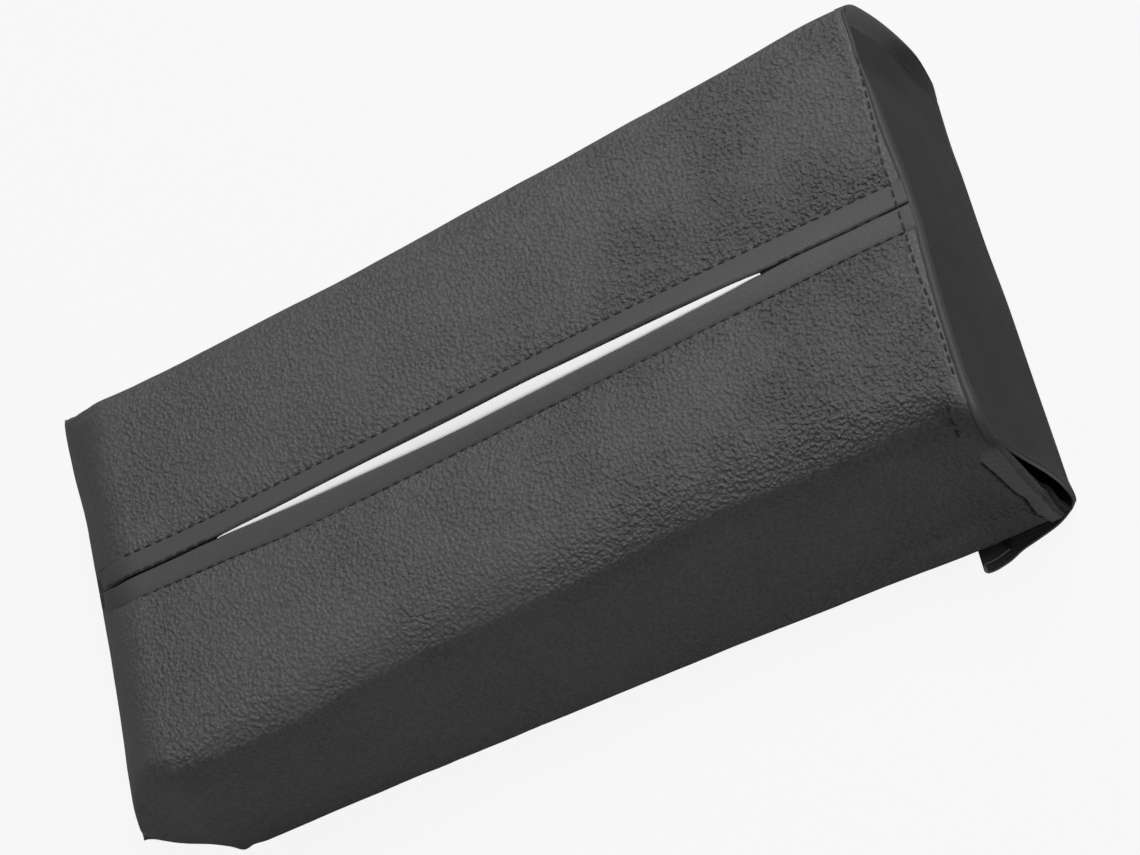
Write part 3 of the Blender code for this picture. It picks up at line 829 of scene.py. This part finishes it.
hem_places = hem_path()
hem_roll = empty_curve("hem_roll", 1.0, 3)
line = hem_roll.data.splines.new("POLY")
line.points.add(len(hem_places) - 1)
for point, (x, y, z) in zip(line.points, hem_places):
    point.co = (x * MM, y * MM, z * MM, 1.0)
    point.radius = float(hem_radius(y))
hem_roll = curve_to_mesh(hem_roll)
dress(hem_roll, "case", "smooth", [hem_finish], "lid_piping")
smooth(hem_roll)

sew_lid("hem_row", [(float(hem_row(y)), y) for y in np.linspace(47.5, -45.0, 220)], 0.30,
        "lid_hem_stitch")
over_corner = [(float(mix(109.0, 106.3, k)), mix(-46.6, -51.5, k)) for k in np.linspace(0, 1, 60)]
sew_lid("corner_row", over_corner, 0.36, pitch=4.4)

# %% [markdown]
# ## Hems down the walls
# The wall's edge at the mouth is bound by a strip, pressed into small ribs by its stitches. In front, the
# wall's own edge is turned back inside it as a plain lip. Both are sheets laid against the finished wall.

# %% Ribbed hems and the front lip
RIB_PITCH = 2.3
front_hem_left = smooth_line([0, 4.2, 11.5, 19.1, 25.9, 32.7, 40, 48],
                             [114.2, 113.5, 112.1, 110.8, 109.5, 107.8, 107.0, 107.0])
front_hem_right = smooth_line([0, 2.8, 7.6, 17, 24, 33, 42, 48],
                              [117.5, 117.2, 116.5, 115.7, 115.1, 114.7, 114.5, 114.5])


def wall_face(half, x, z, side):
    """How far out a finished wall is at each x and z, found by looking straight at it."""
    y = np.full(len(x), side * 60.6)
    for i in range(len(x)):
        spot = Vector((x[i], side * 90.0, z[i])) * MM
        hit, place, _, _ = half.ray_cast(spot, Vector((0, -side, 0)))
        if hit:
            y[i] = place.y / MM
    return y


def make_hem(name, half, side, left, right, tops, *nodes):
    """tops are the heights of the strip's upper end at its left and right edges."""
    def place(s, t):
        across = stretch(t, 0.06, 0.88)
        z = mix(mix(*tops, across), 1.6, s)
        x = mix(left(z), right(z), across)
        plump = (1 - np.abs(2 * across - 1) ** 5) ** 0.6
        ends = stretch(np.minimum(s, 1 - s), 0, 0.03) ** 0.5
        ribs = 0.30 * np.cos(pi * (z - 0.4 * (x - 112)) / RIB_PITCH) ** 2 * plump ** 2
        y = wall_face(half, x, z, side) + side * (-0.25 + (0.75 * plump + ribs) * ends)
        return x, y, z

    piece = lay_sheet(name, 170, 18, place, turned_over=side > 0)
    finish_sheet(piece, LINING, "case", "smooth", [strip_finish], *nodes)


lip_width = smooth_line([0, 7.6, 17, 24, 33, 42, 48], [2.3, 2.7, 2.0, 1.5, 0.9, 0.0, -0.8])
LIP_DEPTH = 5.0
BACK_HEM_GAP, BACK_HEM_WIDTH = 1.2, 4.0


def lip_place(s, t):
    """The front wall's mouth edge, turned round and back inside."""
    z = mix(48.6, 1.7, s)
    turn = stretch(t, 0, 0.45) * pi
    back = stretch(t, 0.45, 0.55)
    edge = front_hem_right(z)
    tip = edge + lip_width(z)
    x = np.where(t < 0.45, mix(edge - 0.8, tip, np.sin(turn / 2)), tip - LIP_DEPTH * back)
    out = np.abs(wall_face(front_half, np.minimum(x, edge - 0.6), z, -1))
    return x, 0.45 + 0.30 * (1 - np.cos(turn)) + 0.4 * back - out, z


def back_hem_right(z):
    return back_edge(z) - BACK_HEM_GAP


def back_hem_left(z):
    return back_hem_right(z) - BACK_HEM_WIDTH


make_hem("front_hem", front_half, -1, front_hem_left, front_hem_right, (33.0, 41.0), "front_hem_strip")
# The front lip wears the darker copy of the smooth leatherette, which paints its shade.
finish_sheet(lay_sheet("front_lip", 70, 24, lip_place), LINING, "case", "smooth", [shaded_plain])
make_hem("back_hem", back_half, 1, back_hem_left, back_hem_right, (47.4, 47.4), "back_hem_strip")

# %% [markdown]
# A row of thread runs down each wall beside its strip. In front the stitches nearly touch, so the row
# reads as one dark line.

# %% Stitches beside the hems
def sew_wall(name, half, side, line, radius, top, gap, node):
    spots = [(float(line(z)), side * 90.0, z) for z in np.linspace(top, 3.0, 160)]
    places, outs = land([half], spots, (0, -side, 0))
    sew(name, places, radius, outs, node, gap=gap)


sew_wall("front_hem_row", front_half, -1, lambda z: front_hem_left(z) - 0.35, radius=0.34,
         top=31.0, gap=0.10, node="front_hem_stitch")
sew_wall("back_hem_row", back_half, 1, lambda z: back_hem_left(z) - 0.5, radius=0.30,
         top=47.0, gap=0.30, node="back_hem_stitch")

# %% [markdown]
# ## End flap
# The flap hangs from the hem roll over the mouth, a little slack, and creases at the floor. It stands in two
# pieces: the panel hangs under the roll, and the tuck flap turns round its fold at the floor. They meet just
# above the fold.

# %% End flap panel and lining
fold_line = smooth_line([-58.2, -57.2, -55.5, -52, -44, -24, -4, 17, 34.5, 46.5, 59.5],
                        [120.9, 121.2, 121.1, 120.7, 120.6, 120.3, 120.1, 119.4, 119.2, 118.9, 119.1])
flap_front = smooth_line([0, 12, 30, 43, 47, 50.9], [-57.8, -57.5, -57.4, -57.4, -57.3, -57.0])
flap_back = smooth_line([0, 5, 15, 25, 33, 42, 50.9], [59.8, 60.0, 60.2, 59.6, 61.6, 61.5, 61.3])
slack = smooth_line([0, 12, 25, 38, 50.9], [0.0, 0.7, 1.0, 0.5, 0.0])
front_slack = smooth_line([0, 4.5, 9.3, 14, 19, 23.5, 28.5, 36.7, 43.7, 50.9],
                          [-0.2, 0.4, 1.0, 1.4, 1.4, 1.2, 0.8, 0.3, 0.0, 0.0])
FLAP_TOP, FLAP_LENGTH, JOIN_Z = 50.9, 49.4, 2.9
# The flap pieces wear the darker copy of the smooth leatherette, which paints their shade, and the light cut
# edge, which partly paints the highlight on their edges.
FLAP_FINISHES = [shaded_plain, backing, cut_edge_and_highlight]


def flap_top(y):
    """The panel starts at the middle of the hem roll, which turns down at both corners."""
    below = np.interp(y, [p[1] for p in hem_places[::-1]], [p[2] for p in hem_places[::-1]])
    return np.minimum(FLAP_TOP, below + 0.2)


def flap_x(y, z):
    share = stretch(FLAP_TOP - z, 0, FLAP_LENGTH)
    bow = mix(slack(z), front_slack(z), ease((-42 - y) / 14))
    bow = bow + 1.3 * ease((y - 46) / 12) * hump(z, 38.0, 11.0)
    return mix(ridge(y) - 1.2, fold_line(y), share) + bow


def panel_place(s, t):
    z = mix(FLAP_TOP, JOIN_Z, t)
    y = mix(flap_front(z), flap_back(z), s)
    z = mix(flap_top(y), JOIN_Z, t)
    lip = 0.35 * (hump(y - flap_front(z), 0.6, 0.9)) * ease((44 - z) / 6)
    return flap_x(y, z) + lip, y, z


piece = lay_sheet("end_flap", 150, 70, panel_place, turned_over=True)
undulate(piece, 30.0, 0.5)
finish_sheet(piece, FLAP_THICK, None, "smooth", FLAP_FINISHES, "end_flap_panel")
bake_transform(piece)


def lining_place(s, t):
    z = mix(46.2, 6.6, t)
    y = mix(flap_front(z) + 2.5, flap_back(z) - 2.5, s)
    return flap_x(y, z) - 1.35, y, z


finish_sheet(lay_sheet("flap_lining", 60, 30, lining_place), LINING, "end_flap", "lining", [backing],
             "end_flap_lining", angle=SOFT_CURVE)

# %% [markdown]
# The back wall's edge is wider than the front one. It is turned round beside the flap as a soft rim, and
# its inner side runs on to the flap, wide and shallow at the top, narrow and steep lower down.

# %% Turned edge of the back wall
def rim_place(s, t):
    z = mix(51.2, 1.8, s)
    out = wall_face(back_half, back_edge(z) - 4.0, z, 1)
    tip = back_edge(z) + 0.1
    turn = stretch(t, 0, 0.4) * pi / 2
    inner = stretch(t, 0.4, 0.6)
    wide = mix(3.2, 8.0, ease((z - 22) / 22))
    y = out + 0.2 - 0.8 * (1 - np.cos(turn)) - wide * inner
    floor_x = flap_x(y, z) - 0.5
    turned = tip - 1.0 * (1 - np.sin(turn)) - 2.0 * np.clip(1 - t / 0.15, 0, 1)
    x = np.where(t < 0.4, turned, mix(tip, floor_x, ease(inner)))
    return x, y, z


piece = lay_sheet("back_rim", 90, 40, rim_place, turned_over=True)
finish_sheet(piece, LINING, "case", "smooth", [plain])

# %% [markdown]
# The tuck flap carries on round the fold and lies flat on the floor under the base. Its free end is
# turned back on itself as a hem, deeper at its two corners, which stand out past the walls.

# %% Tuck flap
tuck_front = smooth_line([94.6, 95.6, 96.9, 101, 105.3, 110, 115.1, 119.0, 120.6],
                         [-66.0, -66.7, -66.8, -66.1, -64.4, -63.2, -61.7, -59.4, -58.0])
TUCK_END, TUCK_START = 94.9, JOIN_Z + 0.3
CURL, HEM_CURL, ON_FLOOR = 1.35, 0.95, 0.05


def tuck_place(s, t):
    rough_y = mix(-57.7, 59.9, s)
    sewn_y = np.minimum(rough_y, 59.5)
    corner = fold_line(sewn_y)
    start = flap_x(sewn_y, np.full_like(sewn_y, TUCK_START))
    far = TUCK_END + HEM_CURL
    hem_depth = 4.0 + 4.8 * ease((np.abs(rough_y) - 49) / 13)
    down, turn, flat, over, back = (stretch(t, a, b) for a, b in (
        (0, 0.10), (0.10, 0.16), (0.26, 0.50), (0.76, 0.10), (0.86, 0.14)))
    turn, over = turn * pi / 2, over * pi
    parts = [t < 0.10, t < 0.26, t < 0.76, t < 0.86]
    x = np.select(parts, [mix(start, corner, down), corner - CURL * (1 - np.cos(turn)),
                          mix(corner - CURL, far, flat), far - HEM_CURL * np.sin(over)],
                  mix(far, TUCK_END + hem_depth, back))
    z = np.select(parts, [mix(TUCK_START, CURL + ON_FLOOR, down), CURL + ON_FLOOR - CURL * np.sin(turn),
                          ON_FLOOR, ON_FLOOR + HEM_CURL * (1 - np.cos(over))],
                  1.95 + 0.25 * hump(back, 1.0, 0.5))
    wide = ease((t - 0.10) / 0.18)
    front = mix(flap_front(z), tuck_front(x), wide)
    rear = mix(flap_back(z), -tuck_front(x), wide)
    inset = 2.0 * ease((t - 0.80) / 0.06)
    return x, mix(front + inset, rear - inset, s), z


piece = lay_sheet("tuck_flap", 150, 110, tuck_place, turned_over=True)
finish_sheet(piece, TUCK_THICK, None, "smooth", FLAP_FINISHES, "tuck_flap_panel")
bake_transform(piece)

# %% [markdown]
# ## Base
# The base is one piece of the same leatherette. It runs up to the seam at the left end, and steps up at
# the right end to make room for the tuck flap. Two woven elastic straps cross under it and hold the case
# on a sun visor or an armrest.

# %% Base, board and straps
BASE_HALF = 56.3
STEP_FROM, STEP_TO, STEP_UP = 88.2, 92.7, 2.4
STRAP_WIDE, STRAP_HALF = 25.0, 58.7


def base_place(s, t):
    s = np.interp(s, [0.0, 0.30, 0.72, 0.86, 1.0], [SEAM, -104.0, 86.0, 94.0, MOUTH])
    y = mix(-BASE_HALF, BASE_HALF, t)
    step = STEP_UP * ease((s - STEP_FROM) / (STEP_TO - STEP_FROM))
    flank = ease((BASE_HALF + 4.0 - np.abs(y)) / 20.0)
    sag = 0.25 * flank * ease((s + 100) / 30) * ease((80 - s) / 20)
    return s + at_mouth(s) * 3.0, y, base_height(s) + step + sag


piece = lay_sheet("base", 150, 60, base_place, turned_over=True)
paint_grain(piece, np.full(len(piece.data.vertices), 0.6))
finish_sheet(piece, LEATHER, "case", "leather", [grained, backing], "base_panel", pressed=True)
for name, finish in (("base_board", board), ("loop_strip", fastener), ("hook_strip", fastener)):
    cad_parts[name].material_slots[0].material = finish


def make_strap(name, centre, node):
    def place(s, t):
        y = mix(-STRAP_HALF, STRAP_HALF, t)
        hold = ease((np.abs(y) - 47) / 4)
        wave = 0.12 * np.cos(y / 9.0 + centre) * (1 - hold) * 0.4
        return centre + (s - 0.5) * STRAP_WIDE, y, 0.12 - 0.08 * np.sin(pi * s) * hold + wave

    piece = lay_sheet(name, 20, 120, place, turned_over=True)
    layer = piece.data.uv_layers.active.data
    flat = np.empty(len(layer) * 2)
    layer.foreach_get("uv", flat)
    flat = flat.reshape(-1, 2) * (STRAP_WIDE * MM, 2 * STRAP_HALF * MM)
    layer.foreach_set("uv", flat.ravel())
    finish_sheet(piece, STRAP_THICK, "case", "elastic", [elastic], node, angle=SOFT_CURVE)


def sew_box(name, centre, side):
    corners = [(-10, 48.5), (10, 48.5), (10, 57.0), (-10, 57.0), (-10, 48.5), (10, 57.0)]
    path, down = [], []
    for (x0, y0), (x1, y1) in zip(corners, corners[1:]):
        for share in np.linspace(0, 1, 12)[:-1]:
            path.append((centre + mix(x0, x1, share), side * mix(y0, y1, share), 0.10))
            down.append((0, 0, -1))
    sew(name, path, 0.24, down, pitch=2.6, sink=0.2)


STRAPS = (("left", -58.0), ("right", 40.0))
for label, centre in STRAPS:
    make_strap("elastic_" + label, centre, label + "_strap")
for label, centre in STRAPS:
    for word, side in (("front", -1), ("back", 1)):
        sew_box(f"strap_box_{label}_{word}", centre, side)

# %% [markdown]
# ## Tissues
# The folded pack fills the case, so its top is pushed up into a ridge under the slit, and its sides show
# the folds as soft steps. The next tissue stands in a narrow parting with its folded edge in the slit.

# %% Folded tissues
PARTING = (-66.7, 70.7)
STACK = (-96.6, 98.0)
PLY = 3.4
# Reach from the middle, height, and how far a place follows the line of the slit. The first seven lie
# inside the parting.
KEYS = [(0.0, 22.9, 1), (0.9, 23.0, 1), (1.1, 26, 1), (1.2, 40, 1), (1.35, 48.2, 1), (1.9, 50.0, 1),
        (2.7, 50.8, 1), (3.8, 50.9, 1), (5.6, 50.2, 1), (8.5, 49.2, 0.8), (13, 48.2, 0.5), (20, 47.6, 0.2),
        (30, 47.3, 0), (42, 47.2, 0), (45.5, 46.6, 0), (47.4, 45, 0), (48, 42.5, 0), (48, 10.5, 0),
        (47.4, 7.8, 0), (45.5, 6, 0), (42, 5.5, 0), (20, 5.5, 0), (0, 5.5, 0)]
SLOT_KEYS = 7
keys = np.array(KEYS, float)
at = np.concatenate([[0], np.cumsum(np.hypot(*np.diff(keys[:, :2], axis=0).T))])
at /= at[-1]


def stack_place(s, t):
    cap_near, cap_far = stretch(s, 0, 0.03), stretch(1 - s, 0, 0.03)
    along = stretch(s, 0.03, 0.94)
    near, far = PARTING
    x = np.interp(along, [0.0, 0.19, 0.21, 0.79, 0.81, 1.0],
                  [STACK[0], near - 0.3, near, far, far + 0.3, STACK[1]])
    side = np.where(t < 0.5, -1, 1)
    share = np.where(t < 0.5, 2 * t, 2 * (1 - t))
    reach, z, follow = (np.interp(share, at, keys[:, k]) for k in range(3))
    open_slot = ease((x - near + 0.3) / 0.3) * ease((far + 0.3 - x) / 0.3)
    slot = share < at[SLOT_KEYS]
    out = stretch(share, 0, at[SLOT_KEYS])
    crest = 51.1 - 0.6 * ease((np.maximum(near - x, x - far) - 6.0) / 14.0)
    narrow = slit_half(x) - 0.08
    ridge_reach = np.where(out < 0.75, np.interp(out, [0, 0.5, 0.75], [0.0, 0.75, 1.0]) * narrow,
                           mix(narrow, 2.7, 4 * out - 3))
    ridge_z = crest - np.interp(out, [0, 0.35, 0.75, 1], [0, 0.25, 1.5, 2.2])
    reach = np.where(slot, mix(ridge_reach, reach, open_slot), reach)
    z = np.where(slot, mix(ridge_z, z, open_slot), z)
    steps = 0.40 * np.abs(np.sin(pi * (z - 5.5) / PLY)) + 0.2 * np.sin(x / 7.0 + z / 5.0)
    y = side * (reach + steps * (reach > 44)) + follow * (middle(x) + slit_shift(x))
    small = np.sqrt(np.minimum(cap_near, cap_far))
    return x, mix(0.0, y, small), mix(26.0, z, small)


piece = lay_sheet("folded_tissues", 170, 300, stack_place)
only(piece)
bpy.ops.object.mode_set(mode="EDIT")
bpy.ops.mesh.select_all(action="SELECT")
bpy.ops.mesh.remove_doubles(threshold=0.00001)
bpy.ops.mesh.normals_make_consistent(inside=False)
bpy.ops.object.mode_set(mode="OBJECT")
dress(piece, "case", "tissue", [paper], "tissue_stack", "upper_tissues_front", "upper_tissues_back")
smooth(piece, 50.0)

# %% [markdown]
# The next tissue is folded over at its crest, and only that fold shows between the bands. At both ends
# its crest runs out to a point under the closed bands.

# %% The next tissue
LEAF = (-66.5, 70.5)
LEAF_LOW, LEAF_CREST = 24.0, 52.9


def leaf_place(s, t):
    side = 2 * t - 1
    flare = ease((np.abs(side) - 0.14) / -0.06)
    x = mix(LEAF[0] - 8.5 * flare, LEAF[1] + 5.0 * flare, s)
    ends = stretch(np.minimum(s, 1 - s), 0, 0.06)
    crest = LEAF_CREST - 0.5 * (1 - np.sqrt(1 - (1 - ends) ** 2)) + 0.15 * np.sin(x / 9.0)
    height = 1 - np.abs(side)
    top = stretch(height, 0.80, 0.20)
    puff = np.maximum(slit_half(x) - 0.16, 0.12 + 0.18 * ends)
    swell, close = stretch(top, 0, 0.35), stretch(top, 0.35, 0.65)
    wide = np.where(height < 0.80, 0.35 + 0.65 * ease((height - 0.5) / 0.3), mix(1.0, puff, ease(swell)))
    wide = np.minimum(wide, np.maximum(puff, 0.6)) * np.sqrt(1 - close ** 2)
    z = np.where(height < 0.80, mix(LEAF_LOW, crest - 2.6, height / 0.80),
                 crest - 2.6 + 1.2 * swell + 1.4 * np.sin(close * pi / 2))
    wave = 0.08 * np.sin(x / 6.0 + 2.0 * side) * (1 - top)
    return x, middle(x) + slit_shift(x) + np.sign(side) * wide + wave, z


next_tissue = lay_sheet("next_tissue", 140, 160, leaf_place)
dress(next_tissue, "top_tissue", "tissue", [paper], "top_tissue")
smooth(next_tissue, 180.0)
